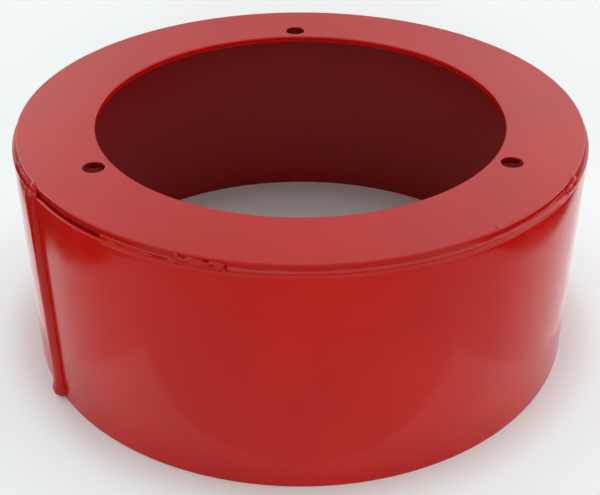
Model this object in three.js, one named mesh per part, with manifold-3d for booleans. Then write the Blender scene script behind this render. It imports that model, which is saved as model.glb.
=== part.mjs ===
// Flanged collar: a short rolled sheet-steel shell, open at the bottom, with a
// flat annular flange plate stitch-welded onto its top rim. Painted all over.
//
// Frame: millimetres, +Z up. The origin is the centre of the shell's bottom
// rim, on the surface the collar stands on. Azimuths are counted from +X
// towards +Y, and -Y is the front.

import * as THREE from 'three';
import { mergeVertices } from 'three/addons/utils/BufferGeometryUtils.js';
import Module from 'manifold-3d';

const wasm = await Module();
wasm.setup();

// ---------------------------------------------------------------- dimensions
const SHELL_OUTER_R = 151.0;      // 302 mm outside diameter at the rim
const SHELL_TAPER = 1.6;          // the radius is this much smaller at the floor
const SHELL_WALL = 3.0;           // 11 gauge sheet
const SHELL_H = 121.6;            // on the axis: the rim is not level
const SHELL_INNER_R = SHELL_OUTER_R - SHELL_WALL;

const SLOT = 1.3;                 // open joint between the rim and the plate
const PLATE_T = 3.5;              // 10 gauge plate
const PLATE_Z = SHELL_H + SLOT;   // its underside, on the axis
const PLATE_R = 149.2;            // its edge stands over the middle of the rim
const PLATE_TILT = 1.4;           // degrees: the front is higher than the back
const OPENING_R = 108.3;          // 216.6 mm clear opening
const BOLT_CIRCLE_R = 118.0;      // 236 mm bolt circle
const BOLT_HOLE_R = 5.55;         // 7/16 in clearance hole for 3/8 in or M10
const BOLT_AZ = [91.6, 210.6, 332.4]; // as drilled, about 120 degrees apart

const SEAM_AZ = -148.6;           // longitudinal seam of the rolled shell
const SEAM_ROOT_GAP = 2.2;        // gap between the rolled sheet's two edges
const SEAM_BEAD_W = 9.2;          // width of the outside cap
const SEAM_BEAD_H = 3.2;          // how far the cap stands proud of the wall

const GAP = 0.3;                  // working clearance between separate solids

const SEGMENTS = 144;             // round sections, 2.5 degrees a side

// ------------------------------------------------------------------- helpers
const rad = (deg) => (deg * Math.PI) / 180;

// Everything is drawn square first. This leans it as the real one leans: the
// bottom rim stays flat on z = 0, the top rises towards the front, and the
// wall draws in towards the floor.
const LEAN = Math.tan(rad(PLATE_TILT));
function settle(geometry) {
  const p = geometry.getAttribute('position');
  for (let i = 0; i < p.count; i++) {
    const x = p.getX(i);
    const y = p.getY(i);
    const z = p.getZ(i);
    const s = Math.min(1, z / SHELL_H);
    const r = Math.hypot(x, y);
    const k = (r - SHELL_TAPER * (1 - s)) / r;
    p.setXYZ(i, x * k, y * k, z - y * k * LEAN * s);
  }
  geometry.computeVertexNormals();
  return geometry;
}

const paint = (name) =>
  Object.assign(
    new THREE.MeshStandardMaterial({ color: 0xb3211c, roughness: 0.22, metalness: 0.0 }),
    { name }
  );

function circlePath(target, cx, cy, r, n, start = 0) {
  for (let i = 0; i <= n; i++) {
    const a = start + (2 * Math.PI * i) / n;
    const x = cx + r * Math.cos(a);
    const y = cy + r * Math.sin(a);
    if (i === 0) target.moveTo(x, y);
    else target.lineTo(x, y);
  }
  return target;
}

// Closed mesh through a list of sections, each a ring of points in the same
// order. `outline` gives the same ring in 2-D for triangulating the two ends.
function loft(sections, outline) {
  const n = outline.length;
  const position = [];
  for (const ring of sections) for (const p of ring) position.push(p.x, p.y, p.z);
  const index = [];
  for (let s = 0; s + 1 < sections.length; s++) {
    for (let i = 0; i < n; i++) {
      const a = s * n + i;
      const b = s * n + ((i + 1) % n);
      const c = a + n;
      const d = b + n;
      index.push(a, b, d, a, d, c);
    }
  }
  const faces = THREE.ShapeUtils.triangulateShape(outline, []);
  const last = (sections.length - 1) * n;
  for (const [a, b, c] of faces) {
    index.push(a, c, b);
    index.push(last + a, last + b, last + c);
  }
  const geometry = new THREE.BufferGeometry();
  geometry.setAttribute('position', new THREE.Float32BufferAttribute(position, 3));
  geometry.setIndex(index);
  return outward(geometry);
}

// Turns the faces round if the signed volume says that they point inwards.
function outward(geometry) {
  const p = geometry.getAttribute('position');
  const idx = geometry.getIndex().array;
  const a = new THREE.Vector3();
  const b = new THREE.Vector3();
  const c = new THREE.Vector3();
  let volume = 0;
  for (let i = 0; i < idx.length; i += 3) {
    a.fromBufferAttribute(p, idx[i]);
    b.fromBufferAttribute(p, idx[i + 1]);
    c.fromBufferAttribute(p, idx[i + 2]);
    volume += a.dot(b.cross(c));
  }
  if (volume < 0) {
    for (let i = 0; i < idx.length; i += 3) {
      const t = idx[i + 1];
      idx[i + 1] = idx[i + 2];
      idx[i + 2] = t;
    }
  }
  geometry.computeVertexNormals();
  return geometry;
}

function toSolid(geometry) {
  const bare = geometry.clone();
  bare.deleteAttribute('normal');
  bare.deleteAttribute('uv');
  const merged = mergeVertices(bare, 1e-4);
  return new wasm.Manifold(
    new wasm.Mesh({
      numProp: 3,
      vertProperties: new Float32Array(merged.getAttribute('position').array),
      triVerts: new Uint32Array(merged.getIndex().array),
    })
  );
}

function fromSolid(solid) {
  const mesh = solid.getMesh();
  const geometry = new THREE.BufferGeometry();
  geometry.setAttribute(
    'position',
    new THREE.BufferAttribute(new Float32Array(mesh.vertProperties), 3)
  );
  geometry.setIndex(new THREE.BufferAttribute(new Uint32Array(mesh.triVerts), 1));
  geometry.computeVertexNormals();
  return geometry;
}

// A weld deposit that runs round the corner between the flange plate's edge
// and the shell's rim. `section` lists (out, up) points in millimetres from
// the notch's corner; `scale(t)` swells or thins it along the run.
function cornerWeld(fromAz, toAz, section, scale = () => 1) {
  const steps = Math.max(4, Math.round(Math.abs(toAz - fromAz) / 2.5));
  const rootR = PLATE_R + GAP;
  const rootZ = SHELL_H + GAP;
  const sections = [];
  for (let i = 0; i <= steps; i++) {
    const t = i / steps;
    const az = rad(fromAz + (toAz - fromAz) * t);
    const k = scale(t);
    sections.push(
      section.map(([out, up]) => {
        const r = rootR + out * Math.min(k, 1.0);
        return new THREE.Vector3(r * Math.cos(az), r * Math.sin(az), rootZ + up * k);
      })
    );
  }
  return loft(sections, section.map(([x, y]) => new THREE.Vector2(x, y)));
}

const object = new THREE.Group();
object.name = 'flanged_collar';

function addPart(name, geometry) {
  const mesh = new THREE.Mesh(settle(geometry), paint(`${name}_paint`));
  mesh.name = name;
  object.add(mesh);
  return mesh;
}

// -------------------------------------------------------------- flange plate
{
  const shape = circlePath(new THREE.Shape(), 0, 0, PLATE_R, SEGMENTS);
  shape.holes.push(circlePath(new THREE.Path(), 0, 0, OPENING_R, SEGMENTS));
  for (const deg of BOLT_AZ) {
    const az = rad(deg);
    shape.holes.push(
      circlePath(
        new THREE.Path(),
        BOLT_CIRCLE_R * Math.cos(az),
        BOLT_CIRCLE_R * Math.sin(az),
        BOLT_HOLE_R,
        28,
        az
      )
    );
  }
  const plate = new THREE.ExtrudeGeometry(shape, {
    depth: PLATE_T,
    bevelEnabled: false,
    curveSegments: 1,
  });
  plate.translate(0, 0, PLATE_Z);
  addPart('flange_plate', plate);
}

// -------------------------------------------------- rolled shell, open seam
{
  const half = Math.asin(SEAM_ROOT_GAP / 2 / SHELL_OUTER_R);
  const seam = rad(SEAM_AZ);
  const az = [seam + half];
  const step = (2 * Math.PI) / SEGMENTS;
  for (let k = Math.ceil((seam + half + 0.2 * step) / step); k * step < seam - half + 2 * Math.PI - 0.2 * step; k++) {
    az.push(k * step);
  }
  az.push(seam - half + 2 * Math.PI);
  const points = [
    ...az.map((a) => new THREE.Vector2(SHELL_OUTER_R * Math.cos(a), SHELL_OUTER_R * Math.sin(a))),
    ...az.reverse().map((a) => new THREE.Vector2(SHELL_INNER_R * Math.cos(a), SHELL_INNER_R * Math.sin(a))),
  ];
  const shell = new THREE.ExtrudeGeometry(new THREE.Shape(points), {
    depth: SHELL_H,
    bevelEnabled: false,
    curveSegments: 1,
  });
  addPart('rolled_shell', shell);
}

// --------------------------- seam weld: outside cap, root and two end blobs
{
  const seam = rad(SEAM_AZ);
  const radial = new THREE.Vector2(Math.cos(seam), Math.sin(seam));
  const side = new THREE.Vector2(-Math.sin(seam), Math.cos(seam));
  const at = (u, r, z) =>
    new THREE.Vector3(radial.x * r + side.x * u, radial.y * r + side.y * u, z);

  // Cap: a low crowned bead along the whole seam, swelling at both ends.
  const N = 13;
  const outline = [];
  const w = SEAM_BEAD_W / 2;
  for (let i = 0; i < N; i++) {
    const s = 1 - (2 * i) / (N - 1);
    outline.push([s * w, Math.pow(1 - Math.pow(Math.abs(s), 2.6), 1 / 2.2)]);
  }
  const stations = [
    // z, width factor, height factor
    [0.6, 0.62, 0.62],
    [1.8, 0.98, 1.1],
    [4.2, 1.2, 1.32],
    [7.5, 1.16, 1.26],
    [12.0, 1.02, 1.04],
    [20.0, 1, 1],
    [100.0, 1, 1],
    [112.0, 1.04, 1.0],
    [117.0, 1.12, 1.0],
    [120.2, 1.1, 0.86],
  ];
  const wallAt = (u) => Math.sqrt(Math.pow(SHELL_OUTER_R + GAP, 2) - u * u);
  const sections = stations.map(([z, kw, kh]) => {
    const ring = outline.map(([u, h]) => at(u * kw, wallAt(u * kw) + 0.25 + h * kh * (SEAM_BEAD_H - 0.55), z));
    for (const s of [-1, -0.5, 0, 0.5, 1]) ring.push(at(s * w * kw, wallAt(s * w * kw), z));
    return ring;
  });
  const flat = [
    ...outline.map(([u, h]) => new THREE.Vector2(u, 0.25 + h * (SEAM_BEAD_H - 0.55))),
    ...[-1, -0.5, 0, 0.5, 1].map((s) => new THREE.Vector2(s * w, 0)),
  ];
  const cap = toSolid(loft(sections, flat));

  // Root: the metal that fills the gap between the sheet's two edges.
  const rootW = SEAM_ROOT_GAP - 2 * GAP;
  const rootIn = SHELL_INNER_R - 0.4;
  const rootOut = SHELL_OUTER_R + 1.2;
  const root = new THREE.BoxGeometry(rootOut - rootIn, rootW, SHELL_H - 2.4);
  root.rotateZ(seam);
  root.translate((radial.x * (rootOut + rootIn)) / 2, (radial.y * (rootOut + rootIn)) / 2, SHELL_H / 2);

  // Tie-in: the blob that ends the seam on top of the rim, against the plate.
  const tieR = (PLATE_R + GAP + SHELL_OUTER_R + 1.5) / 2;
  const tieW = SEAM_BEAD_W * 0.86;
  const tieStations = [
    // z, half width, inner radius, outer radius
    [SHELL_H + GAP, tieW * 0.6, PLATE_R + GAP + 0.15, SHELL_OUTER_R + 2.4],
    [SHELL_H + 1.7, tieW * 0.56, PLATE_R + GAP + 0.1, SHELL_OUTER_R + 2.0],
    [SHELL_H + 3.3, tieW * 0.44, PLATE_R + GAP + 0.1, SHELL_OUTER_R + 1.0],
    [SHELL_H + 4.4, tieW * 0.28, PLATE_R + GAP + 0.2, SHELL_OUTER_R + 0.1],
  ];
  const ringN = 14;
  const tieSections = tieStations.map(([z, hw, r0, r1]) => {
    const ring = [];
    for (let i = 0; i < ringN; i++) {
      const a = (2 * Math.PI * i) / ringN;
      const u = hw * Math.sin(a);
      const inner = Math.sqrt((PLATE_R + GAP) ** 2 - 0) + (r0 - PLATE_R - GAP);
      const r = (inner + r1) / 2 + ((r1 - inner) / 2) * Math.cos(a);
      ring.push(at(u, r, z));
    }
    return ring;
  });
  const tieFlat = [];
  for (let i = 0; i < ringN; i++) {
    const a = (2 * Math.PI * i) / ringN;
    tieFlat.push(new THREE.Vector2(Math.cos(a), Math.sin(a)));
  }
  const tie = toSolid(loft(tieSections, tieFlat));
  // Neck between the cap's top and the tie-in, outside the wall.
  const neck = new THREE.BoxGeometry(1.9, tieW * 0.8, 4.0);
  neck.rotateZ(seam);
  const neckR = SHELL_OUTER_R + GAP + 0.3 + 0.95;
  neck.translate(radial.x * neckR, radial.y * neckR, SHELL_H - 0.6);

  const solid = cap.add(toSolid(root)).add(tie).add(toSolid(neck));
  addPart('seam_weld', fromSolid(solid));
}

// ---------------------------------------- corner welds, plate edge to rim
const LEG_OUT = SHELL_OUTER_R - PLATE_R - GAP - 0.1; // stops at the rim's edge
const concave = (out, up) => [
  [0, 0],
  [out, 0],
  [out, 0.5],
  [out * 0.66, 0.3 + 0.3 * up],
  [out * 0.34, 0.2 + 0.6 * up],
  [0.0, up],
];
const convex = (out, up) => [
  [0, 0],
  [out, 0],
  [out, 0.5],
  [out * 0.78, up * 0.72],
  [out * 0.4, up * 0.96],
  [0.0, up],
];
const endTaper = (t) => Math.min(1, 0.45 + 8 * Math.min(t, 1 - t));

// Long front run, finishing in a raised stop crater at its right-hand end.
addPart(
  'corner_weld_front',
  cornerWeld(-102.4, -27.6, concave(LEG_OUT, 2.9), (t) => (t > 0.955 ? 1 + (t - 0.955) * 13 : 1))
);
// Short overlap where that run was restarted: thick and lumpy.
addPart('corner_weld_restart', cornerWeld(-111.9, -103.0, convex(LEG_OUT, 3.8), endTaper));
// Thin sunken root run next to it.
addPart('corner_weld_root_run', cornerWeld(-127.3, -112.5, concave(LEG_OUT * 0.75, 1.9)));
// Rippled run on the other side of the seam.
addPart('corner_weld_left', cornerWeld(-160.4, -151.4, convex(LEG_OUT, 3.6), endTaper));
// Two stitches round the back.
addPart('corner_weld_back_left', cornerWeld(124.0, 162.0, convex(LEG_OUT, 3.2), endTaper));
addPart('corner_weld_back_right', cornerWeld(28.0, 66.0, convex(LEG_OUT, 3.2), endTaper));

export default object;
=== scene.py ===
import math

import bpy
import numpy as np
from mathutils import Matrix, Vector


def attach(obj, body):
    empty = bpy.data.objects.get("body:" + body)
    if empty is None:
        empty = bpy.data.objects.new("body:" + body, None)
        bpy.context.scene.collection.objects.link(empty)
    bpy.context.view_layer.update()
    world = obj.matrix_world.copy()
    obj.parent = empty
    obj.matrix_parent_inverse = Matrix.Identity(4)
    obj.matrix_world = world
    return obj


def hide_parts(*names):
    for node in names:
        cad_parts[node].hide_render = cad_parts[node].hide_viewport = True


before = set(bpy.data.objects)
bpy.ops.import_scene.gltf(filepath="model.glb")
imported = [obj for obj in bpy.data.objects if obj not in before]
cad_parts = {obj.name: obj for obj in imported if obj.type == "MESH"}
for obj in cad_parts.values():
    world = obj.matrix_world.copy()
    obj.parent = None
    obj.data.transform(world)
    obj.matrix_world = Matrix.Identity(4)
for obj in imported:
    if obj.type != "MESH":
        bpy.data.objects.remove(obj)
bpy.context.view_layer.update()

MM = 0.001

# --------------------------------------------- sizes, as in the CAD, in mm
SHELL_R = 151.0
TAPER = 1.6
SHELL_H = 121.6
WALL = 3.0
SHELL_IN = SHELL_R - WALL
PLATE_R = 149.2
PLATE_BOT = SHELL_H + 1.3
PLATE_TOP = PLATE_BOT + 3.5
LEAN = math.tan(math.radians(1.4))
OPENING_R = 108.3
BOLT_CIRCLE = 118.0
BOLT_R = 5.55
BOLT_AZ = [91.6, 210.6, 332.4]
SEAM_AZ = -148.6
SEAM_GAP = 2.2
BEAD_HALF = 4.5
BEAD_H = 3.5

ROOT = "root"


def rad(d):
    return d * math.pi / 180.0


def smooth(x, a, b):
    t = np.clip((np.asarray(x, float) - a) / (b - a), 0, 1)
    return t * t * (3 - 2 * t)


def waves(x, seed, lo, hi, n=7):
    """Smooth random wave of about unit size: n sines with periods from lo to hi."""
    rng = np.random.default_rng(seed)
    x = np.asarray(x, float)
    out = np.zeros_like(x)
    total = 0.0
    for k in range(n):
        period = lo * (hi / lo) ** rng.random()
        a = 0.4 + rng.random()
        out = out + a * np.sin(2 * math.pi * (x / period + rng.random()))
        total += a * a / 2
    return out / math.sqrt(total)


def settle(v):
    """Leans a square-drawn shape as the real one leans (see the CAD source)."""
    v = np.array(v, float).reshape(-1, 3)
    s = np.minimum(1.0, v[:, 2] / SHELL_H)
    r = np.hypot(v[:, 0], v[:, 1])
    k = (r - TAPER * (1 - s)) / np.maximum(r, 1e-9)
    y = v[:, 1] * k
    return np.stack([v[:, 0] * k, y, v[:, 2] - y * LEAN * s], -1)


def make_object(name, verts_mm, faces, smooth_shade=True):
    mesh = bpy.data.meshes.new(name)
    v = settle(verts_mm) * MM
    mesh.from_pydata(v.tolist(), [], [tuple(int(i) for i in f) for f in faces])
    mesh.validate(verbose=False)
    mesh.update()
    if smooth_shade:
        mesh.polygons.foreach_set("use_smooth", [True] * len(mesh.polygons))
    obj = bpy.data.objects.new(name, mesh)
    bpy.context.scene.collection.objects.link(obj)
    return obj


def polar(r, az_deg, z):
    a = np.radians(az_deg)
    return np.stack([r * np.cos(a), r * np.sin(a), z * np.ones_like(a)], -1)


def signed_volume(verts, faces):
    v = np.asarray(verts, float)
    total = 0.0
    for f in faces:
        for k in range(1, len(f) - 1):
            total += np.dot(v[f[0]], np.cross(v[f[k]], v[f[k + 1]]))
    return total


def fix_out(verts, faces):
    if signed_volume(verts, faces) < 0:
        faces = [tuple(reversed(f)) for f in faces]
    return faces


# ------------------------------------------------------- local shape of joint
def rim_drop(az):
    """How far the shell's rim is off its nominal height. The joint is closer
    round the back, where it is not welded, and a little wider at the front left."""
    az = np.asarray(az, float)
    d = 0.18 * smooth(az, -146.5, -141.0) * (1 - smooth(az, -128.5, -124.0))
    d = d - 0.7 * np.maximum(smooth(az, -27.5, -20.0), 1 - smooth(az, -168.0, -161.5))
    return d + 0.06 * np.sin(np.radians(3 * az))


def lip(az):
    """Size of the faint raised lip that welding leaves at the top of the wall."""
    az = np.asarray(az, float)
    return 0.25 + 0.5 * smooth(az, -129, -124) * (1 - smooth(az, -29, -26)) + 0.15 * waves(az, 11, 3.0, 14.0)


# --------------------------------------------------------------- flange plate
def build_flange_plate():
    N = 720
    az = np.arange(N) * 360.0 / N
    e_top, e_bot = 0.75, 0.35
    h_edge = 0.42
    HALF_A, NRAD = 12, 24  # the hole's patch: 24 by 24 cells
    ra, rb = 109.95, 126.05

    # Flat radii, with a holding loop next to each rounded edge.
    radii = [OPENING_R + e_top, OPENING_R + e_top + 0.18, ra]
    radii = sorted(set(radii))
    patch0 = radii.index(ra)
    radii += list(np.linspace(ra, rb, NRAD + 1)[1:])
    patch1 = len(radii) - 1
    outer = PLATE_R - e_top
    radii += list(np.linspace(rb, outer - 0.18, 15)[1:]) + [outer]
    radii = np.array(radii)
    nr = len(radii)

    verts, faces = [], []

    def warp(r, a):
        """Very slight dishing of the plate from welding and handling."""
        k = np.clip((r - OPENING_R) / (PLATE_R - OPENING_R), 0, 1)
        w = 0.07 * np.sin(np.radians(2 * a + 40)) + 0.035 * np.sin(np.radians(5 * a + 10))
        pull = -0.10 * smooth(a_wrap(a), -118, -105) * (1 - smooth(a_wrap(a), -40, -30))
        return (w + pull) * k**2 - 0.02

    def a_wrap(a):
        return (np.asarray(a, float) + 180.0) % 360.0 - 180.0

    def grid(z, flip):
        base = len(verts)
        idx = np.zeros((nr, N), int)
        for j, r in enumerate(radii):
            zz = z + warp(r, az)
            pts = polar(r, az, 0.0)
            pts[:, 2] = zz
            idx[j] = np.arange(len(verts), len(verts) + N)
            verts.extend(pts.tolist())
        skip = np.zeros((nr - 1, N), bool)
        holes = []
        for hz in BOLT_AZ:
            c = int(round((hz % 360.0) / (360.0 / N)))
            a0 = c - HALF_A
            cols = [(a0 + k) % N for k in range(2 * HALF_A + 1)]
            for j in range(patch0, patch1):
                for k in range(2 * HALF_A):
                    skip[j, cols[k]] = True
            loop = [idx[patch0, cols[k]] for k in range(2 * HALF_A)]
            loop += [idx[patch0 + j, cols[-1]] for j in range(NRAD)]
            loop += [idx[patch1, cols[-1 - k]] for k in range(2 * HALF_A)]
            loop += [idx[patch1 - j, cols[0]] for j in range(NRAD)]
            h = np.array([BOLT_CIRCLE * math.cos(rad(hz)), BOLT_CIRCLE * math.sin(rad(hz))])
            p = np.array([verts[i] for i in loop])
            d = p[:, :2] - h
            ang = np.arctan2(d[:, 1], d[:, 0])
            zc = z + float(warp(BOLT_CIRCLE, np.array([hz]))[0])
            previous = loop
            rim_r = BOLT_R + h_edge
            for s in (0.3, 0.6, 0.85, 0.96, 1.0):
                ring = []
                for q in range(len(loop)):
                    rr = (1 - s) * np.hypot(*d[q]) + s * rim_r
                    zz = (1 - s) * p[q, 2] + s * zc
                    ring.append(len(verts))
                    verts.append([h[0] + rr * math.cos(ang[q]), h[1] + rr * math.sin(ang[q]), zz])
                m = len(loop)
                for q in range(m):
                    f = (previous[q], ring[q], ring[(q + 1) % m], previous[(q + 1) % m])
                    faces.append(f if not flip else tuple(reversed(f)))
                previous = ring
            holes.append((previous, h, ang, zc))
        for j in range(nr - 1):
            for i in range(N):
                if skip[j, i]:
                    continue
                f = (idx[j, i], idx[j + 1, i], idx[j + 1, (i + 1) % N], idx[j, (i + 1) % N])
                faces.append(f if not flip else tuple(reversed(f)))
        return idx[0].tolist(), idx[-1].tolist(), holes

    top_in, top_out, top_h = grid(PLATE_TOP, False)
    bot_in, bot_out, bot_h = grid(PLATE_BOT, True)

    steps = 6

    def edge_profile(r_flat_top, r_wall, e_t, e_b, sign):
        """(radius, z above bottom plane or below top plane) down the cut edge."""
        prof = []
        for k in range(1, steps + 1):
            t = math.pi / 2 * k / steps
            prof.append(("t", r_wall - sign * e_t * (1 - math.sin(t)), -e_t * (1 - math.cos(t))))
        for s in (0.08, 0.3, 0.5, 0.7, 0.92):
            prof.append(("m", r_wall, s))
        for k in range(0, steps):
            t = math.pi / 2 * (1 - k / steps)
            prof.append(("b", r_wall - sign * e_b * (1 - math.sin(t)), e_b * (1 - math.cos(t))))
        return prof

    def wrap_edge(loop_top, loop_bot, angles, centre, r_wall, e_t, e_b, sign, wobble):
        """sign +1 for an outside edge, -1 for an inside edge."""
        previous = loop_top
        m = len(loop_top)
        zt = np.array([verts[i][2] for i in loop_top])
        zb = np.array([verts[i][2] for i in loop_bot])
        for kind, r, zz in edge_profile(None, r_wall, e_t, e_b, sign):
            if kind == "t":
                z = zt + zz
            elif kind == "b":
                z = zb + zz
            else:
                z = (zt - e_t) * (1 - zz) + (zb + e_b) * zz
            rr = r + wobble
            ring = list(range(len(verts), len(verts) + m))
            pts = np.stack([centre[0] + rr * np.cos(angles), centre[1] + rr * np.sin(angles), z], -1)
            verts.extend(pts.tolist())
            for q in range(m):
                faces.append((previous[q], ring[q], ring[(q + 1) % m], previous[(q + 1) % m]))
            previous = ring
        for q in range(m):
            faces.append((previous[q], loop_bot[q], loop_bot[(q + 1) % m], previous[(q + 1) % m]))

    a = np.radians(az)
    n0 = len(faces)
    wob_out = 0.05 * waves(az * 2.6, 3, 5, 40) * 0.5
    wrap_edge(top_out, bot_out, a, (0, 0), PLATE_R, e_top, e_bot, +1, wob_out)
    n1 = len(faces)
    wob_in = 0.03 * waves(az * 1.9, 5, 4, 30) * 0.5
    wrap_edge(top_in, bot_in, a, (0, 0), OPENING_R, e_top, e_bot, -1, wob_in)
    for f in range(n1, len(faces)):
        faces[f] = tuple(reversed(faces[f]))
    for (lt, h, ang, _), (lb, _, _, _) in zip(top_h, bot_h):
        n2 = len(faces)
        wrap_edge(lt, lb, ang, h, BOLT_R, h_edge, 0.3, -1, 0.02 * np.sin(5 * ang))
        # the hole's loop runs clockwise or not depending on the patch: settle it by winding
        s = np.sum(np.diff(np.unwrap(np.append(ang, ang[0]))))
        if s > 0:
            for f in range(n2, len(faces)):
                faces[f] = tuple(reversed(faces[f]))
    obj = make_object("flange_plate_skin", verts, faces)
    return obj


# --------------------------------------------------------------- rolled shell
def build_shell():
    half = math.degrees(math.asin(SEAM_GAP / 2 / SHELL_R))
    a0 = SEAM_AZ + half
    a1 = SEAM_AZ - half + 360.0
    n = 900
    az = np.linspace(a0, a1, n + 1)
    wrap = (az + 180.0) % 360.0 - 180.0

    et, ei, eb = 1.1, 0.4, 0.5
    prof = []  # (radial position 0 in..1 out + mm offset, z kind, z value)
    k6 = 6
    # outside wall, bottom to top
    for k in range(k6):
        t = math.pi / 2 * k / k6
        prof.append((SHELL_R - eb * (1 - math.sin(t)), "b", eb * (1 - math.cos(t))))
    zs = [eb, eb + 0.25, eb + 1.0, 3, 6] + list(np.linspace(10, 112, 35)) + [114.5, 116.2, 117.4]
    zs += list(np.arange(118.2, SHELL_H - et - 0.05, 0.3))
    for z in zs:
        prof.append((SHELL_R, "w", z))
    for k in range(k6 + 1):
        t = math.pi / 2 * k / k6
        prof.append((SHELL_R - et * (1 - math.cos(t)), "t", -et * (1 - math.sin(t))))
    # across the rim
    for s in (0.15, 0.5, 0.85):
        prof.append((SHELL_R - et - s * (WALL - et - ei), "t", 0.0))
    for k in range(k6 + 1):
        t = math.pi / 2 * k / k6
        prof.append((SHELL_IN + ei * (1 - math.sin(t)), "t", -ei * (1 - math.cos(t))))
    for z in list(np.linspace(117.5, 3, 24)) + [eb + 0.25, eb]:
        prof.append((SHELL_IN, "i", z))
    for k in range(1, k6 + 1):
        t = math.pi / 2 * k / k6
        prof.append((SHELL_IN + eb * (1 - math.cos(t)), "b", eb * (1 - math.sin(t))))
    for s in (0.15, 0.5, 0.85):
        prof.append((SHELL_IN + eb + s * (WALL - 2 * eb), "b", 0.0))

    drop = rim_drop(wrap)
    lips = lip(wrap)
    m = len(prof)
    verts = np.zeros((m, n + 1, 3))
    a = np.radians(az)
    for j, (r, kind, z) in enumerate(prof):
        if kind == "t":
            zz = SHELL_H - drop + z
        elif kind == "w" and z > 112:
            zz = z - drop * (z - 112) / (SHELL_H - 112)
        else:
            zz = np.full(n + 1, float(z))
        h = np.clip(zz / SHELL_H, 0, 1)
        # rolling leaves a very slightly uneven radius
        dr = 0.05 * np.sin(2 * a + 0.7) + 0.035 * np.sin(5 * a + 2.0 + 1.4 * h) + 0.02 * np.sin(11 * a - 1.0 + 2.2 * h)
        # flats left beside the seam by the rolls
        s = (wrap - SEAM_AZ) * math.pi / 180 * SHELL_R
        dr = dr - 0.22 * np.exp(-((np.abs(s) - 13.0) / 9.0) ** 2)
        if kind in ("w",) or (kind == "t" and r > SHELL_R - et):
            below = (SHELL_H - drop) - zz
            dr = dr + 0.13 * lips * np.exp(-((below - 0.75) / 0.55) ** 2)
            dr = dr - 0.07 * lips * np.exp(-((below - 2.3) / 0.9) ** 2)
        rr = r + dr
        rr = np.minimum(rr, SHELL_R + 0.12)
        verts[j, :, 0] = rr * np.cos(a)
        verts[j, :, 1] = rr * np.sin(a)
        verts[j, :, 2] = zz
    flat = verts.reshape(-1, 3)
    faces = []
    for j in range(m):
        j2 = (j + 1) % m
        b0, b1 = j * (n + 1), j2 * (n + 1)
        for i in range(n):
            faces.append((b0 + i, b0 + i + 1, b1 + i + 1, b1 + i))
    faces.append(tuple(j * (n + 1) for j in range(m)))
    faces.append(tuple(j * (n + 1) + n for j in reversed(range(m))))
    faces = fix_out(flat, faces)
    return make_object("rolled_shell_skin", flat, faces)


# ---------------------------------------------------------------- weld sweeps
def ring_mesh(rings):
    """Closed mesh through rings of equal length, each end closed by a fan to the ring's centre."""
    m = len(rings[0])
    verts = np.concatenate([np.asarray(r, float) for r in rings])
    faces = []
    for s in range(len(rings) - 1):
        for i in range(m):
            j = (i + 1) % m
            faces.append((s * m + i, s * m + j, (s + 1) * m + j, (s + 1) * m + i))
    c0 = len(verts)
    verts = np.concatenate([verts, [np.mean(rings[0], 0)], [np.mean(rings[-1], 0)]])
    last = (len(rings) - 1) * m
    for i in range(m):
        j = (i + 1) % m
        faces.append((c0, j, i))
        faces.append((c0 + 1, last + i, last + j))
    return verts, fix_out(verts, faces)


def end_dome(t, length, radius):
    """1 along the run, falling to 0 in a quarter circle over `radius` at each end."""
    d = np.minimum(t, 1 - t) * length
    k = np.clip(d / radius, 0, 1)
    return np.sqrt(np.clip(1 - (1 - k) ** 2, 0, 1))


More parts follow.
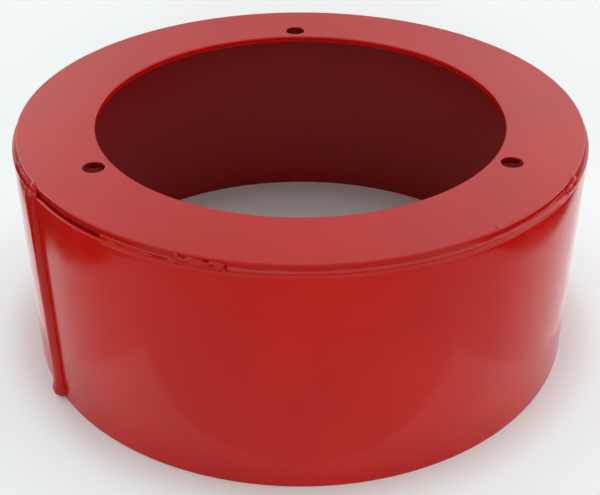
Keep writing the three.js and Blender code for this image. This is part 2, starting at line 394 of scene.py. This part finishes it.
def corner_weld(az0, az1, shape, seed, dome=2.2, pitch=0.35, lip=False):
    """A deposit in the notch between the plate's edge and the shell's rim.

    shape(s, az) gives the face's four Bezier points as (radius, height) and the
    size of the ripples, in millimetres. With `lip` the face turns over the rim's
    edge and ends a little way down the wall."""
    length = abs(az1 - az0) * math.pi / 180 * 150.5
    n = max(24, int(length / pitch))
    t = np.linspace(0, 1, n + 1)
    t = np.unique(np.concatenate([t, np.linspace(0, dome / length, 12), 1 - np.linspace(0, dome / length, 12)]))
    s = t * length
    az = az0 + (az1 - az0) * t
    ctrl, ripple = shape(s, az)
    dome_k = end_dome(t, length, dome)
    drop = rim_drop(az)
    notch = np.array([PLATE_R - 0.1, SHELL_H - 0.1])
    nq = 17
    rings = []
    for i in range(len(t)):
        k = max(dome_k[i], 0.03)
        P = [notch + (np.array([c[0][i] if np.ndim(c[0]) else c[0], c[1][i] if np.ndim(c[1]) else c[1]]) - notch) * k for c in ctrl]
        f = np.linspace(0, 1, nq)[:, None]
        curve = P[0] * (1 - f) ** 3 + 3 * P[1] * f * (1 - f) ** 2 + 3 * P[2] * f**2 * (1 - f) + P[3] * f**3
        tan = np.gradient(curve, axis=0)
        nrm = np.stack([-tan[:, 1], tan[:, 0]], -1)
        nrm /= np.hypot(nrm[:, 0], nrm[:, 1])[:, None] + 1e-9
        ff = f[:, 0]
        # the ripples are arcs: they trail at the two toes
        ph = 2 * math.pi * (s[i] - 0.9 * np.sin(math.pi * ff)) / 2.3
        w = ripple[i] * k * np.sin(math.pi * ff) ** 0.7 * (np.sin(ph) + 0.35 * np.sin(2.1 * ph + seed))
        curve = curve + nrm * w[:, None]
        pts = list(curve)
        if lip:
            e = curve[-1]
            for dr, dz in ((0.10, -0.12), (0.15, -0.32), (0.12, -0.62), (0.02, -0.95), (-0.35, -1.05)):
                pts.append(e + np.array([dr, dz]) * k)
        else:
            pts.append(curve[-1] + np.array([-0.1, -0.35]))
        pts.append(np.array([PLATE_R - 0.6, SHELL_H - 0.5]))
        pts.append(np.array([PLATE_R - 0.6, P[0][1] - 0.2]))
        pts = np.array(pts)
        pts[:, 1] -= drop[i] * np.clip((PLATE_BOT - pts[:, 1]) / 1.3, 0, 1)
        a = rad(az[i])
        rings.append(np.stack([pts[:, 0] * math.cos(a), pts[:, 0] * math.sin(a), pts[:, 1]], -1))
    return ring_mesh(rings)


def blob(centre, axes, radii, seed, rings=14, segments=26, rough=0.1):
    """A closed lump with an uneven surface. axes are three unit vectors."""
    verts = []
    rng = np.random.default_rng(seed)
    ph = rng.random(6) * 6.28
    for j in range(1, rings):
        th = math.pi * j / rings
        for i in range(segments):
            p = 2 * math.pi * i / segments
            d = np.array([math.sin(th) * math.cos(p), math.sin(th) * math.sin(p), math.cos(th)])
            k = 1 + rough * (0.5 * math.sin(2 * p + ph[0]) * math.sin(th) + 0.4 * math.sin(3 * th + ph[1])
                             + 0.4 * math.sin(3 * p + 2 * th + ph[2]) * math.sin(th))
            q = k * d * np.array(radii)
            verts.append(np.array(centre) + axes[0] * q[0] + axes[1] * q[1] + axes[2] * q[2])
    top = len(verts)
    verts.append(np.array(centre) + axes[2] * radii[2])
    verts.append(np.array(centre) - axes[2] * radii[2])
    faces = []
    for j in range(rings - 2):
        for i in range(segments):
            k = (i + 1) % segments
            faces.append((j * segments + i, (j + 1) * segments + i, (j + 1) * segments + k, j * segments + k))
    for i in range(segments):
        k = (i + 1) % segments
        faces.append((top, i, k))
        b = (rings - 2) * segments
        faces.append((top + 1, b + k, b + i))
    verts = np.array(verts)
    return verts, fix_out(verts, faces)


def merge(name, parts):
    """Joins closed lumps into one mesh object; fuse() does the voxel remesh and smoothing."""
    verts, faces, base = [], [], 0
    for v, f in parts:
        verts.append(np.asarray(v, float))
        faces += [tuple(i + base for i in g) for g in f]
        base += len(v)
    return make_object(name, np.concatenate(verts), faces)


def fuse(obj, voxel_mm, smooth_n=6, factor=0.5):
    mod = obj.modifiers.new("fuse", "REMESH")
    mod.mode = "VOXEL"
    mod.voxel_size = voxel_mm * MM
    mod.use_smooth_shade = True
    sm = obj.modifiers.new("ease", "SMOOTH")
    sm.iterations = smooth_n
    sm.factor = factor
    dg = bpy.context.evaluated_depsgraph_get()
    dg.update()
    mesh = bpy.data.meshes.new_from_object(obj.evaluated_get(dg))
    obj.modifiers.clear()
    old = obj.data
    obj.data = mesh
    mesh.name = obj.name
    bpy.data.meshes.remove(old)
    mesh.polygons.foreach_set("use_smooth", [True] * len(mesh.polygons))
    return obj


def local_axes(az):
    a = rad(az)
    radial = np.array([math.cos(a), math.sin(a), 0.0])
    along = np.array([-math.sin(a), math.cos(a), 0.0])
    return radial, along, np.array([0.0, 0.0, 1.0])


# ------------------------------------------------------------------ seam weld
def build_seam_weld():
    radial, along, up = local_axes(SEAM_AZ)
    R = SHELL_R
    # Path of the bead's foot in the (radius, height) plane: up the wall and
    # over the rim to the plate's edge.
    path = [(R, z) for z in np.concatenate([np.arange(0.35, 6, 0.35), np.arange(6, 116, 0.6), np.arange(116, 119.6, 0.35)])]
    p0, p1, p2, p3 = [np.array(q) for q in ((R, 119.6), (R, 122.0), (150.0, 123.6), (149.0, 125.6))]
    for k in np.linspace(0, 1, 17)[1:]:
        path.append(tuple(p0 * (1 - k) ** 3 + 3 * p1 * k * (1 - k) ** 2 + 3 * p2 * k * k * (1 - k) + p3 * k**3))
    path = np.array(path)
    d = np.gradient(path, axis=0)
    d /= np.hypot(d[:, 0], d[:, 1])[:, None]
    nrm = np.stack([d[:, 1], -d[:, 0]], -1)
    s = np.concatenate([[0], np.cumsum(np.hypot(*np.diff(path, axis=0).T))])
    total = s[-1]
    nq = 29
    rings = []
    w_var = 1 + 0.008 * waves(s, 21, 9, 40)
    h_var = 1 + 0.013 * waves(s, 22, 9, 40)
    side_var = 0.05 * waves(s, 23, 18, 70) + np.interp(path[:, 1], [0, 25, 97, 130], [0.6, 0.6, -0.95, -1.1])
    for i in range(len(path)):
        z = path[i, 1]
        # swelling at the foot and at the top, and a rounded lower end
        foot = math.exp(-(((s[i] - 3.3) / 3.6) ** 2))
        head = math.exp(-(((s[i] - total) / 5.0) ** 2))
        k_end = math.sqrt(max(0.0, 1 - (1 - min(1, s[i] / 2.6)) ** 2))
        hw = BEAD_HALF * w_var[i] * (1 + 0.24 * foot - 0.18 * head)
        h = BEAD_H * h_var[i] * (1 + 0.3 * foot - 0.45 * head)
        hw *= 0.55 + 0.45 * k_end
        h *= 0.25 + 0.75 * k_end
        u0 = side_var[i]
        ripple = 0.02 + 0.01 * math.sin(s[i] / 17.0)
        pts = []
        for q in range(nq):
            x = 1 - 2 * q / (nq - 1)
            u = u0 + hw * x
            crown = max(0.0, 1 - abs(x) ** 2.35) ** (1 / 1.75)
            # two weave tracks leave a shallow valley down the middle
            valley = 0.055 * math.exp(-((x + 0.12) / 0.2) ** 2)
            hh = h * (crown - valley)
            ph = 2 * math.pi * (s[i] + 2.0 * (1 - x * x)) / 2.6
            hh += ripple * math.sin(ph) * crown
            on_wall = math.sqrt(max(0.0, R * R - u * u)) - R
            r = path[i, 0] + on_wall + nrm[i, 0] * (hh - 0.02)
            zz = z + nrm[i, 1] * (hh - 0.02)
            pts.append(radial * r + along * u + up * zz)
        for x in (-1.0, -0.5, 0.0, 0.5, 1.0):
            u = u0 + hw * x * 0.97
            on_wall = math.sqrt(max(0.0, R * R - u * u)) - R
            sink = 0.5
            pts.append(radial * (path[i, 0] + on_wall - nrm[i, 0] * sink) + along * u + up * (z - nrm[i, 1] * sink))
        rings.append(np.array(pts))
    cap_v, cap_f = ring_mesh(rings)

    # Root run inside the wall: low, narrow and a little uneven.
    rings = []
    zz = np.arange(1.2, 119.0, 0.8)
    rw = 1.75 * (1 + 0.1 * waves(zz, 31, 6, 30))
    rh = 0.55 * (1 + 0.2 * waves(zz, 32, 5, 22))
    for i, z in enumerate(zz):
        e = min(1, (i + 0.3) / 3, (len(zz) - i - 0.7) / 3)
        pts = []
        for q in range(13):
            x = 1 - 2 * q / 12
            u = rw[i] * x * (0.5 + 0.5 * e)
            r = SHELL_IN - rh[i] * e * (1 - abs(x) ** 2) ** 0.8 + 0.03
            pts.append(radial * r + along * u + up * z)
        for x in (-1.0, 0.0, 1.0):
            pts.append(radial * (SHELL_R - 0.6) + along * (1.4 * x) + up * z)
        rings.append(np.array(pts))
    root_v, root_f = ring_mesh(rings)

    # Blob that ties the bead in to the plate's edge.
    r1, a1, u1 = local_axes(SEAM_AZ - 0.1)
    blob1 = blob(r1 * 149.4 + u1 * 124.7, (a1, r1, u1), (3.6, 2.3, 2.6), 41, rough=0.0)
    r2, a2, u2 = local_axes(SEAM_AZ + 1.3)
    blob2 = blob(r2 * 150.3 + u2 * 122.3, (a2, r2, u2), (1.5, 1.2, 1.1), 42, rough=0.0)
    obj = merge("seam_weld_skin", [(cap_v, cap_f), blob1, blob2])
    fuse(obj, 0.42, smooth_n=5, factor=0.5)
    root = make_object("seam_weld_root_skin", root_v, root_f)
    return obj, root


# ----------------------------------------------------------------- the welds
def build_corner_welds():
    made = []

    def front(s, az):
        hi = 0.25 * smooth(az, -98, -102) + 0.9 * smooth(az, -50, -32)
        z0 = PLATE_BOT + 0.35 + 0.12 * waves(s, 101, 10, 60) + hi
        r3 = 150.98 + 0.03 * waves(s, 102, 8, 50)
        z3 = SHELL_H - 0.75 + 0.09 * waves(s, 104, 9, 44)
        full = 0.1 * waves(s, 103, 9, 40) + 0.3 * smooth(az, -50, -32)
        ripple = 0.02 + 0.025 * smooth(az, -45, -30) + 0.012 * waves(s, 105, 20, 80)
        return [(PLATE_R + 0.03, z0), (149.35 + 0.4 * full, z0 - 1.0), (149.95 + full, SHELL_H - 0.15 + full), (r3, z3)], ripple

    run = corner_weld(-102.9, -27.4, front, 1, dome=2.4, lip=True)
    r, a, u = local_axes(-28.3)
    b1 = blob(r * 149.6 + u * 124.0, (a, r, u), (4.5, 2.35, 3.3), 51, rough=0.0)
    r, a, u = local_axes(-30.2)
    b2 = blob(r * 149.9 + u * 123.0, (a, r, u), (5.2, 1.7, 2.4), 52, rough=0.0)
    obj = merge("corner_weld_front_skin", [run, b1, b2])
    fuse(obj, 0.30, smooth_n=3, factor=0.5)
    made.append((obj, "corner_weld_front"))

    def restart(s, az):
        z0 = PLATE_BOT + 2.1 + 0.3 * waves(s, 111, 4.5, 14)
        b = 0.25 * waves(s, 113, 4, 11)
        z3 = SHELL_H - 0.1 + 0.1 * waves(s, 112, 5, 16)
        return [(PLATE_R + 0.03, z0), (150.55 + b, z0 + 0.1), (150.9 + 0.7 * b, SHELL_H + 1.0 + b), (150.55, z3)], np.full_like(s, 0.05)

    run = corner_weld(-112.3, -102.6, restart, 2, dome=2.0)
    lumps = []
    for azb, rr, z, ax in (
        (-111.3, 149.9, 124.9, (1.3, 1.2, 1.35)),
        (-111.7, 150.5, 122.6, (1.2, 0.9, 1.3)),
        (-107.4, 150.1, 123.9, (5.4, 0.95, 0.9)),
        (-103.6, 150.1, 123.3, (1.7, 1.2, 1.3)),
        (-102.7, 150.7, 121.6, (1.0, 0.8, 1.3)),
        (-101.6, 151.0, 120.7, (0.55, 0.35, 0.5)),
        (-100.9, 150.9, 120.8, (0.45, 0.35, 0.4)),
        (-104.9, 150.95, 120.9, (0.6, 0.3, 0.4)),
    ):
        r, a, u = local_axes(azb)
        lumps.append(blob(r * rr + u * z, (a, r, u), ax, int(abs(azb) * 10), rough=0.1))
    obj = merge("corner_weld_restart_skin", [run] + lumps)
    fuse(obj, 0.22, smooth_n=3, factor=0.5)
    made.append((obj, "corner_weld_restart"))

    def root_run(s, az):
        z0 = PLATE_BOT + 0.75 + 0.1 * waves(s, 121, 8, 30)
        r3 = 150.15 + 0.08 * waves(s, 122, 8, 30)
        return [(PLATE_R + 0.03, z0), (149.75, z0 - 0.35), (149.9, SHELL_H + 0.45), (r3, SHELL_H - 0.02)], np.full_like(s, 0.02)

    v, f = corner_weld(-127.7, -112.0, root_run, 3, dome=2.6)
    made.append((make_object("corner_weld_root_run_skin", v, f), "corner_weld_root_run"))

    def left(s, az):
        z0 = PLATE_BOT + 1.9 + 0.2 * waves(s, 131, 5, 16)
        b = 0.1 * waves(s, 133, 5, 14)
        return [(PLATE_R + 0.03, z0), (150.2 + b, z0 - 0.1), (150.75 + b, SHELL_H + 1.2), (150.85, SHELL_H - 0.3)], np.full_like(s, 0.17)

    v, f = corner_weld(-161.0, -150.4, left, 4, dome=2.4, pitch=0.2)
    made.append((make_object("corner_weld_left_skin", v, f), "corner_weld_left"))

    def stitch(seed):
        def shape(s, az):
            z0 = PLATE_BOT + 1.7 + 0.14 * waves(s, seed, 7, 30)
            b = 0.08 * waves(s, seed + 2, 6, 26)
            return [(PLATE_R + 0.03, z0), (149.95 + b, z0 - 0.3), (150.5 + b, SHELL_H + 0.9), (150.8, SHELL_H - 0.3)], np.full_like(s, 0.08)
        return shape

    for node, lo_, hi_, sd in (("corner_weld_back_left", 123.6, 162.4, 141), ("corner_weld_back_right", 27.6, 66.4, 151)):
        v, f = corner_weld(lo_, hi_, stitch(sd), sd, dome=2.4)
        made.append((make_object(node + "_skin", v, f), node))
    return made


# ------------------------------------------------------------------ materials
class Nodes:
    def __init__(self, tree):
        self.t = tree
        self.x = -1400

    def new(self, kind, **props):
        n = self.t.nodes.new(kind)
        for k, v in props.items():
            setattr(n, k, v)
        self.x += 60
        n.location = (self.x, -40 * (len(self.t.nodes) % 12))
        return n

    def link(self, a, b):
        self.t.links.new(a, b)

    def math(self, op, a, b=None, clamp=False):
        n = self.new("ShaderNodeMath", operation=op, use_clamp=clamp)
        for i, v in enumerate((a, b)):
            if v is None:
                continue
            if isinstance(v, (int, float)):
                n.inputs[i].default_value = v
            else:
                self.link(v, n.inputs[i])
        return n.outputs[0]

    def noise(self, vec, scale, detail=2.0, rough=0.5):
        n = self.new("ShaderNodeTexNoise")
        n.inputs["Scale"].default_value = scale
        n.inputs["Detail"].default_value = detail
        n.inputs["Roughness"].default_value = rough
        self.link(vec, n.inputs["Vector"])
        return n.outputs["Fac"]

    def lobes(self, direction, rows):
        total = None
        for az, el, sharp, strength in rows:
            a, e = rad(az), rad(el)
            n = self.new("ShaderNodeVectorMath", operation="DOT_PRODUCT")
            self.link(direction, n.inputs[0])
            n.inputs[1].default_value = (math.cos(a) * math.cos(e), math.sin(a) * math.cos(e), math.sin(e))
            v = self.math("MULTIPLY", self.math("SUBTRACT", n.outputs["Value"], 1.0), float(sharp))
            v = self.math("MULTIPLY", self.math("EXPONENT", v), float(strength))
            total = v if total is None else self.math("ADD", total, v)
        return total

    def ranged(self, v, a, b, c, d):
        n = self.new("ShaderNodeMapRange", interpolation_type="SMOOTHSTEP")
        for i, q in enumerate((a, b, c, d)):
            n.inputs[i + 1].default_value = q
        self.link(v, n.inputs[0])
        return n.outputs[0]


def paint(name, nibs=(), pits=(), weld=False, inside=False, low=(0.408, 0.0026, 0.0013), high=(0.458, 0.0034, 0.0018), holes=(), edge=None):
    """Thick glossy red enamel sprayed over steel."""
    m = bpy.data.materials.new(name)
    m.use_nodes = True
    t = m.node_tree
    t.nodes.clear()
    N = Nodes(t)
    out = N.new("ShaderNodeOutputMaterial")
    b = N.new("ShaderNodeBsdfPrincipled")
    N.link(b.outputs[0], out.inputs[0])
    b.inputs["Metallic"].default_value = 0.0
    b.inputs["IOR"].default_value = 1.40
    tc = N.new("ShaderNodeTexCoord")
    P = tc.outputs["Object"]

    # Colour: the coat's depth varies a little from place to place.
    broad = N.noise(P, 14.0, 2.0)
    fine = N.noise(P, 420.0, 3.0)
    mix = N.new("ShaderNodeMix", data_type="RGBA")
    mix.inputs[6].default_value = (*low, 1)
    mix.inputs[7].default_value = (*high, 1)
    N.link(N.ranged(broad, 0.3, 0.7, 0.0, 1.0), mix.inputs[0])
    mix2 = N.new("ShaderNodeMix", data_type="RGBA")
    mix2.inputs[7].default_value = (0.38, 0.002, 0.001, 1)
    N.link(N.ranged(fine, 0.60, 0.74, 0.0, 0.22), mix2.inputs[0])
    N.link(mix.outputs[2], mix2.inputs[6])
    colour = mix2.outputs[2]

    if inside:
        # Painted shade: the inner face of the wall is painted darker, for the shade inside the drum.
        flat = N.new("ShaderNodeVectorMath", operation="MULTIPLY")
        N.link(P, flat.inputs[0])
        flat.inputs[1].default_value = (1.0, 1.0, 0.0)
        r_ = N.new("ShaderNodeVectorMath", operation="LENGTH")
        N.link(flat.outputs[0], r_.inputs[0])
        z_ = N.new("ShaderNodeSeparateXYZ")
        N.link(P, z_.inputs[0])
        r_ = N.math("SUBTRACT", r_.outputs["Value"], N.math("MULTIPLY", z_.outputs[2], TAPER / SHELL_H))
        inner_shade = N.new("ShaderNodeMix", data_type="RGBA")
        inner_shade.inputs[7].default_value = (0.285, 0.0016, 0.0010, 1)
        mid = (SHELL_R + SHELL_IN) / 2 - TAPER
        N.link(N.ranged(r_, (mid - 0.9) * MM, (mid - 0.4) * MM, 1.0, 0.0), inner_shade.inputs[0])
        N.link(colour, inner_shade.inputs[6])
        colour = inner_shade.outputs[2]

    if edge:
        # Painted shade: the plate's cut edge is painted a little darker, and the walls of the bolt holes much darker,
        # where shade falls.
        flat = N.new("ShaderNodeVectorMath", operation="MULTIPLY")
        N.link(P, flat.inputs[0])
        flat.inputs[1].default_value = (1.0, 1.0, 0.0)
        r_ = N.new("ShaderNodeVectorMath", operation="LENGTH")
        N.link(flat.outputs[0], r_.inputs[0])
        side = N.new("ShaderNodeMix", data_type="RGBA")
        side.inputs[7].default_value = (0.37, 0.0030, 0.0007, 1)
        N.link(N.ranged(r_.outputs["Value"], (edge - 0.35) * MM, (edge - 0.12) * MM, 0.0, 1.0), side.inputs[0])
        N.link(colour, side.inputs[6])
        colour = side.outputs[2]
        for hx, hy in holes:
            d = N.new("ShaderNodeVectorMath", operation="DISTANCE")
            N.link(flat.outputs[0], d.inputs[0])
            d.inputs[1].default_value = (hx * MM, hy * MM, 0.0)
            mx = N.new("ShaderNodeMix", data_type="RGBA")
            mx.inputs[7].default_value = (0.17, 0.0020, 0.0010, 1)
            N.link(N.ranged(d.outputs["Value"], (BOLT_R + 0.08) * MM, (BOLT_R + 0.3) * MM, 1.0, 0.0), mx.inputs[0])
            N.link(colour, mx.inputs[6])
            colour = mx.outputs[2]

    # Gloss: even, with faint dull patches where the coat went on dry.
    dry = N.noise(P, 55.0, 3.0, 0.6)
    base = 0.15 if weld else 0.115
    rough = N.ranged(dry, 0.35, 0.75, base, base + 0.07)

    # Surface: orange peel, fine texture, and sparse dust nibs.
    peel = N.noise(P, 330.0, 1.5, 0.4)
    peel2 = N.noise(P, 95.0, 1.0, 0.4)
    vor = N.new("ShaderNodeTexVoronoi", feature="F1")
    vor.inputs["Scale"].default_value = 60.0
    N.link(P, vor.inputs["Vector"])
    dot = N.ranged(vor.outputs["Distance"], 0.015, 0.035, 1.0, 0.0)
    sep = N.new("ShaderNodeSeparateColor")
    N.link(vor.outputs["Color"], sep.inputs[0])
    rare = N.ranged(sep.outputs[0], 0.93, 0.94, 0.0, 1.0)
    dust = N.math("MULTIPLY", dot, rare)
    height = N.math("MULTIPLY", peel, 0.0000045 if not weld else 0.000009)
    height = N.math("ADD", height, N.math("MULTIPLY", peel2, 0.000012))
    height = N.math("ADD", height, N.math("MULTIPLY", dust, 0.00006))
    for (x, y, z, r, h) in nibs:
        d = N.new("ShaderNodeVectorMath", operation="DISTANCE")
        N.link(P, d.inputs[0])
        d.inputs[1].default_value = (x * MM, y * MM, z * MM)
        k = N.ranged(d.outputs["Value"], 0.0, r * MM, h * MM, 0.0)
        height = N.math("ADD", height, k)
    bump = N.new("ShaderNodeBump")
    bump.inputs["Strength"].default_value = 1.0
    bump.inputs["Distance"].default_value = 1.0
    N.link(height, bump.inputs["Height"])
    N.link(bump.outputs[0], b.inputs["Normal"])

    for (x, y, z, r, c) in pits:
        d = N.new("ShaderNodeVectorMath", operation="DISTANCE")
        N.link(P, d.inputs[0])
        d.inputs[1].default_value = (x * MM, y * MM, z * MM)
        k = N.ranged(d.outputs["Value"], r * 0.45 * MM, r * MM, 1.0, 0.0)
        mx = N.new("ShaderNodeMix", data_type="RGBA")
        mx.inputs[7].default_value = c
        N.link(k, mx.inputs[0])
        N.link(colour, mx.inputs[6])
        colour = mx.outputs[2]
    N.link(colour, b.inputs["Base Color"])
    N.link(rough, b.inputs["Roughness"])
    return m


def at(az, r, z):
    return tuple(settle([(r * math.cos(rad(az)), r * math.sin(rad(az)), z)])[0])


# ---------------------------------------------------------------------- build
plate = build_flange_plate()
shell = build_shell()
seam, seam_root = build_seam_weld()
welds = build_corner_welds()

plate_paint = paint(
    "red_paint_plate",
    nibs=[(*at(-61.2, 140.5, PLATE_TOP), 1.1, 0.16), (*at(-26.4, 124.3, PLATE_TOP), 0.9, 0.25),
          (*at(-52.8, 147.6, PLATE_TOP), 1.9, 0.3)],
    pits=[(*at(-52.6, 147.7, PLATE_TOP), 0.55, (0.08, 0.004, 0.003, 1))],
    # painted shade in the bolt holes and on the cut edge
    holes=[at(h, BOLT_CIRCLE, PLATE_TOP)[:2] for h in BOLT_AZ],
    edge=PLATE_R,
)
shell_paint = paint(
    "red_paint_shell",
    nibs=[(*at(-66.8, SHELL_R, 107.2), 0.9, 0.12), (*at(-102.3, SHELL_R, 68.1), 0.8, 0.1),
          (*at(-121.1, SHELL_R, 27.6), 0.9, 0.12), (*at(-30.9, SHELL_R, 44.0), 0.8, -0.15)],
    pits=[(*at(-30.9, SHELL_R, 44.0), 0.5, (0.10, 0.003, 0.002, 1))],
    # painted shade on the inner face of the wall
    inside=True,
    low=(0.394, 0.0034, 0.0006),
    high=(0.444, 0.0044, 0.0010),
)
weld_paint = paint("red_paint_weld", weld=True, low=(0.36, 0.0034, 0.0008), high=(0.42, 0.0044, 0.0012))

plate.data.materials.append(plate_paint)
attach(plate, ROOT)
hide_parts("flange_plate")

shell.data.materials.append(shell_paint)
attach(shell, ROOT)
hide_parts("rolled_shell")

for o in (seam, seam_root):
    o.data.materials.append(weld_paint)
    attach(o, ROOT)
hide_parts("seam_weld")
for o, node in welds:
    o.data.materials.append(weld_paint)
    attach(o, ROOT)
    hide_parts(node)


# ---------------------------------------------------------------------- stage
def floor_material():
    m = bpy.data.materials.new("pale_floor")
    m.use_nodes = True
    b = m.node_tree.nodes["Principled BSDF"]
    b.inputs["Base Color"].default_value = (0.84, 0.85, 0.85, 1)
    b.inputs["Roughness"].default_value = 0.55
    b.inputs["Specular IOR Level"].default_value = 0.0
    # Painted light and shade on the floor: a soft glow around the object, none right under it, a faint glow inside the
    # ring, and less just behind it.
    N = Nodes(m.node_tree)
    tc = N.new("ShaderNodeTexCoord")
    P = tc.outputs["Object"]
    r_ = N.new("ShaderNodeVectorMath", operation="LENGTH")
    N.link(P, r_.inputs[0])
    painted_floor_light = N.ranged(r_.outputs["Value"], 0.149, 0.176, 0.0, 0.19)
    painted_floor_light = N.math("MULTIPLY", painted_floor_light, N.ranged(r_.outputs["Value"], 0.21, 0.34, 1.0, 0.4))
    painted_floor_light = N.math("ADD", painted_floor_light, N.ranged(r_.outputs["Value"], 0.115, 0.142, 0.035, 0.0))
    # painted shade on the floor just behind the object
    back = N.new("ShaderNodeVectorMath", operation="DISTANCE")
    N.link(P, back.inputs[0])
    back.inputs[1].default_value = (0.0, 0.36, 0.0)
    painted_floor_light = N.math("MULTIPLY", painted_floor_light, N.ranged(back.outputs["Value"], 0.05, 0.26, 0.0, 1.0))
    b.inputs["Emission Color"].default_value = (0.60, 1.0, 1.0, 1)
    N.link(painted_floor_light, b.inputs["Emission Strength"])
    return m


def plane(name, size, z):
    s = size / 2
    mesh = bpy.data.meshes.new(name)
    mesh.from_pydata([(-s, -s, z), (s, -s, z), (s, s, z), (-s, s, z)], [], [(0, 1, 2, 3)])
    o = bpy.data.objects.new(name, mesh)
    bpy.context.scene.collection.objects.link(o)
    return o


floor = plane("floor", 12.0, 0.0)
floor.data.materials.append(floor_material())

# Soft light as a sum of round lobes: azimuth, elevation, sharpness, strength.
SKY_LOBES = [
    (183, 16, 30, 1.0), (-3, 16, 30, 0.9), (153, 23, 34, 4.6), (29, 23, 34, 3.1),
    (0, 8, 6, 1.194), (45, 8, 6, 0.64), (90, 8, 6, 0.139), (180, 8, 6, 0.216),
    (225, 8, 6, 1.378), (270, 8, 6, 1.345), (315, 8, 6, 1.3), (22.5, 30, 6, 0.218),
    (202.5, 30, 6, 0.276), (337.5, 30, 6, 0.241), (30, 55, 7, 0.157), (90, 55, 7, 0.564),
    (150, 55, 7, 0.26), (0, 88, 8, 0.97), (60, 18, 45, 1.809), (75, 18, 45, 0.442),
    (105, 18, 45, 0.582), (120, 18, 45, 2.456), (75, 33, 45, 0.499), (90, 33, 45, 0.162),
    (105, 33, 45, 0.117), (120, 33, 45, 1.299),
]
# What lies past the straight edges of the sheet that the object stands on.
# Only reflections see it: dark at the left and right, dimmer to the front.
strips = [(-3.0, -3.0, -0.25, 3.0), (0.265, -3.0, 3.0, 3.0), (-0.25, -3.0, 0.265, -0.165),
          (-0.25, -0.165, -0.158, 3.0), (0.158, -0.165, 0.265, 3.0), (-0.158, 0.158, 0.158, 3.0)]
ring_v, ring_f = [], []
for x0, y0, x1, y1 in strips:
    k = len(ring_v)
    ring_v += [(x0, y0, 0.0006), (x1, y0, 0.0006), (x1, y1, 0.0006), (x0, y1, 0.0006)]
    ring_f.append((k, k + 1, k + 2, k + 3))
me = bpy.data.meshes.new("surround")
me.from_pydata(ring_v, [], ring_f)
surround = bpy.data.objects.new("surround", me)
bpy.context.scene.collection.objects.link(surround)
sm = bpy.data.materials.new("surround")
sm.use_nodes = True
t = sm.node_tree
t.nodes.clear()
N = Nodes(t)
o_ = N.new("ShaderNodeOutputMaterial")
em = N.new("ShaderNodeEmission")
tc = N.new("ShaderNodeTexCoord")
sx = N.new("ShaderNodeSeparateXYZ")
N.link(tc.outputs["Object"], sx.inputs[0])
left_ = N.ranged(sx.outputs[0], -0.256, -0.250, 0.0, 1.0)
right_ = N.ranged(sx.outputs[0], 0.265, 0.272, 1.0, 0.0)
front_ = N.ranged(sx.outputs[1], -0.34, -0.165, 0.36, 0.56)
side_ = N.ranged(sx.outputs[1], -0.15, 0.04, 0.0, 0.50)
front_ = N.math("ADD", front_, side_)
v = N.math("MULTIPLY", N.math("MULTIPLY", left_, right_), front_)
N.link(N.math("ADD", v, 0.02), em.inputs["Strength"])
N.link(em.outputs[0], o_.inputs[0])
me.materials.append(sm)
surround.visible_camera = False
surround.visible_diffuse = False
surround.visible_transmission = False
surround.visible_volume_scatter = False
surround.visible_shadow = False

# World: the fitted soft light. The camera itself sees an even pale backdrop.
w = bpy.data.worlds.new("studio")
bpy.context.scene.world = w
w.use_nodes = True
t = w.node_tree
t.nodes.clear()
N = Nodes(t)
wo = N.new("ShaderNodeOutputWorld")
bg = N.new("ShaderNodeBackground")
tc = N.new("ShaderNodeTexCoord")
lp = N.new("ShaderNodeLightPath")
seen = N.new("ShaderNodeMix", data_type="FLOAT")
N.link(lp.outputs["Is Camera Ray"], seen.inputs[0])
N.link(N.lobes(tc.outputs["Generated"], SKY_LOBES), seen.inputs[2])
seen.inputs[3].default_value = 0.9
N.link(seen.outputs[0], bg.inputs["Strength"])
N.link(bg.outputs[0], wo.inputs[0])

# --------------------------------------------------------------------- camera
cam = bpy.data.cameras.new("camera")
cam.sensor_fit = "HORIZONTAL"
cam.sensor_width = 36.0
cam.lens = 36.0 * 1245.4 / 600.0
cam.clip_start, cam.clip_end = 0.01, 50.0
cam_o = bpy.data.objects.new("camera", cam)
bpy.context.scene.collection.objects.link(cam_o)
cam_o.location = (0.0, -0.59366, 0.42844)
forward = Vector((-0.00034, 0.83793, -0.54577)).normalized()
cam_o.rotation_mode = "QUATERNION"
cam_o.rotation_quaternion = forward.to_track_quat("-Z", "Y")
bpy.context.scene.camera = cam_o

vs = bpy.context.scene.view_settings
vs.view_transform = "Standard"
vs.look = "None"
vs.exposure = 0.0
vs.gamma = 1.0
